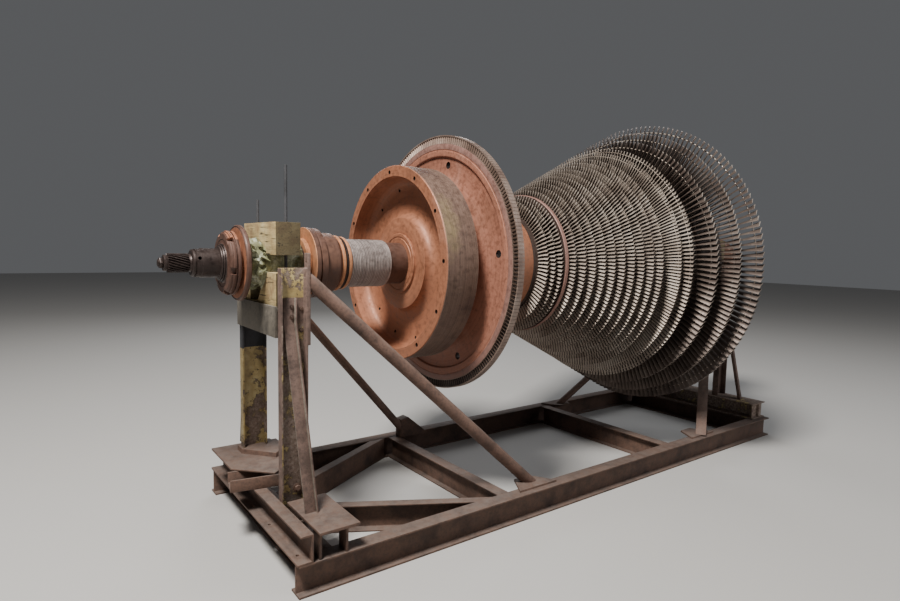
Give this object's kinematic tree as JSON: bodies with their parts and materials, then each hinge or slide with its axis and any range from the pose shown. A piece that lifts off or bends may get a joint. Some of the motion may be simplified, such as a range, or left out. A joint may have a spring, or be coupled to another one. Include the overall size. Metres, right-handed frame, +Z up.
{
  "type": "steam turbine rotor in a storage stand",
  "caption": "Bladed steam turbine rotor with balance drum, control wheel and tapering blade rows, resting on a welded steel stand.",
  "frame": {"origin": "on the floor, under the middle of the whole", "axes": "+X along the rotor axis from the splined end towards the last blade row, +Y across it, +Z up"},
  "size_m": [4.856, 2.19, 2.545],
  "materials": {
    "shaft_steel": "dark oxidised turned steel",
    "rotor_rust": "orange brown surface rust over turned steel",
    "grooved_steel": "fine turned grooves, dull grey brown",
    "blade_steel": "dull grey beige blading",
    "wrapping": "crumpled oiled wrapping",
    "yellow_paint": "flaking yellow paint over rust",
    "frame_steel": "dark rust brown rolled steel",
    "pipe_steel": "dusty rust on pipe",
    "timber": "rough sawn yellowed timber"
  },
  "bodies": {
    "stand": {"near_long_beam": "frame_steel", "far_long_beam": "frame_steel", "front_lower_cross": "frame_steel", "front_cross": "frame_steel", "middle_cross": "frame_steel", "rear_lower_cross": "frame_steel", "near_plan_brace": "frame_steel", "far_plan_brace": "frame_steel", "front_raised_beam": "frame_steel", "rear_raised_beam": "frame_steel", "front_far_runner": "frame_steel", "front_far_packing": "frame_steel", "front_near_stool": "frame_steel", "front_near_column": "yellow_paint", "front_far_column": "yellow_paint", "front_near_raker": "frame_steel", "front_far_raker": "frame_steel", "front_cross_beam": "frame_steel", "front_saddle": "timber", "front_cap": "timber", "rear_near_column": "frame_steel", "rear_far_column": "frame_steel", "rear_near_raker": "frame_steel", "rear_far_raker": "frame_steel", "rear_cross_beam": "frame_steel", "rear_saddle": "timber", "rear_cap": "timber", "front_near_brace": "pipe_steel", "front_far_brace": "pipe_steel", "rear_near_brace": "pipe_steel", "rear_far_brace": "pipe_steel", "front_far_bracket": "frame_steel"},
    "rotor": {"end_nut": "shaft_steel", "splined_stub": "shaft_steel", "front_shaft": "shaft_steel", "ring_nut": "rotor_rust", "thrust_collar": "rotor_rust", "front_journal_wrap": "wrapping", "oil_deflector": "rotor_rust", "seal_collar": "rotor_rust", "labyrinth_sleeve": "grooved_steel", "balance_drum": "rotor_rust", "control_wheel": "rotor_rust", "control_blading": "blade_steel", "front_drum": "blade_steel", "middle_drum": "blade_steel", "rear_drum": "blade_steel", "blade_row_16": "blade_steel", "blade_row_17": "blade_steel", "blade_row_18": "blade_steel", "rear_shaft": "shaft_steel", "rear_journal_wrap": "wrapping", "rear_coupling": "rotor_rust"}
  },
  "joints": [
    {"name": "rotor_spin", "type": "hinge", "parent": "stand", "child": "rotor", "pos_m": [0, 0, 1.45], "axis": [1, 0, 0], "continuous": true}
  ]
}
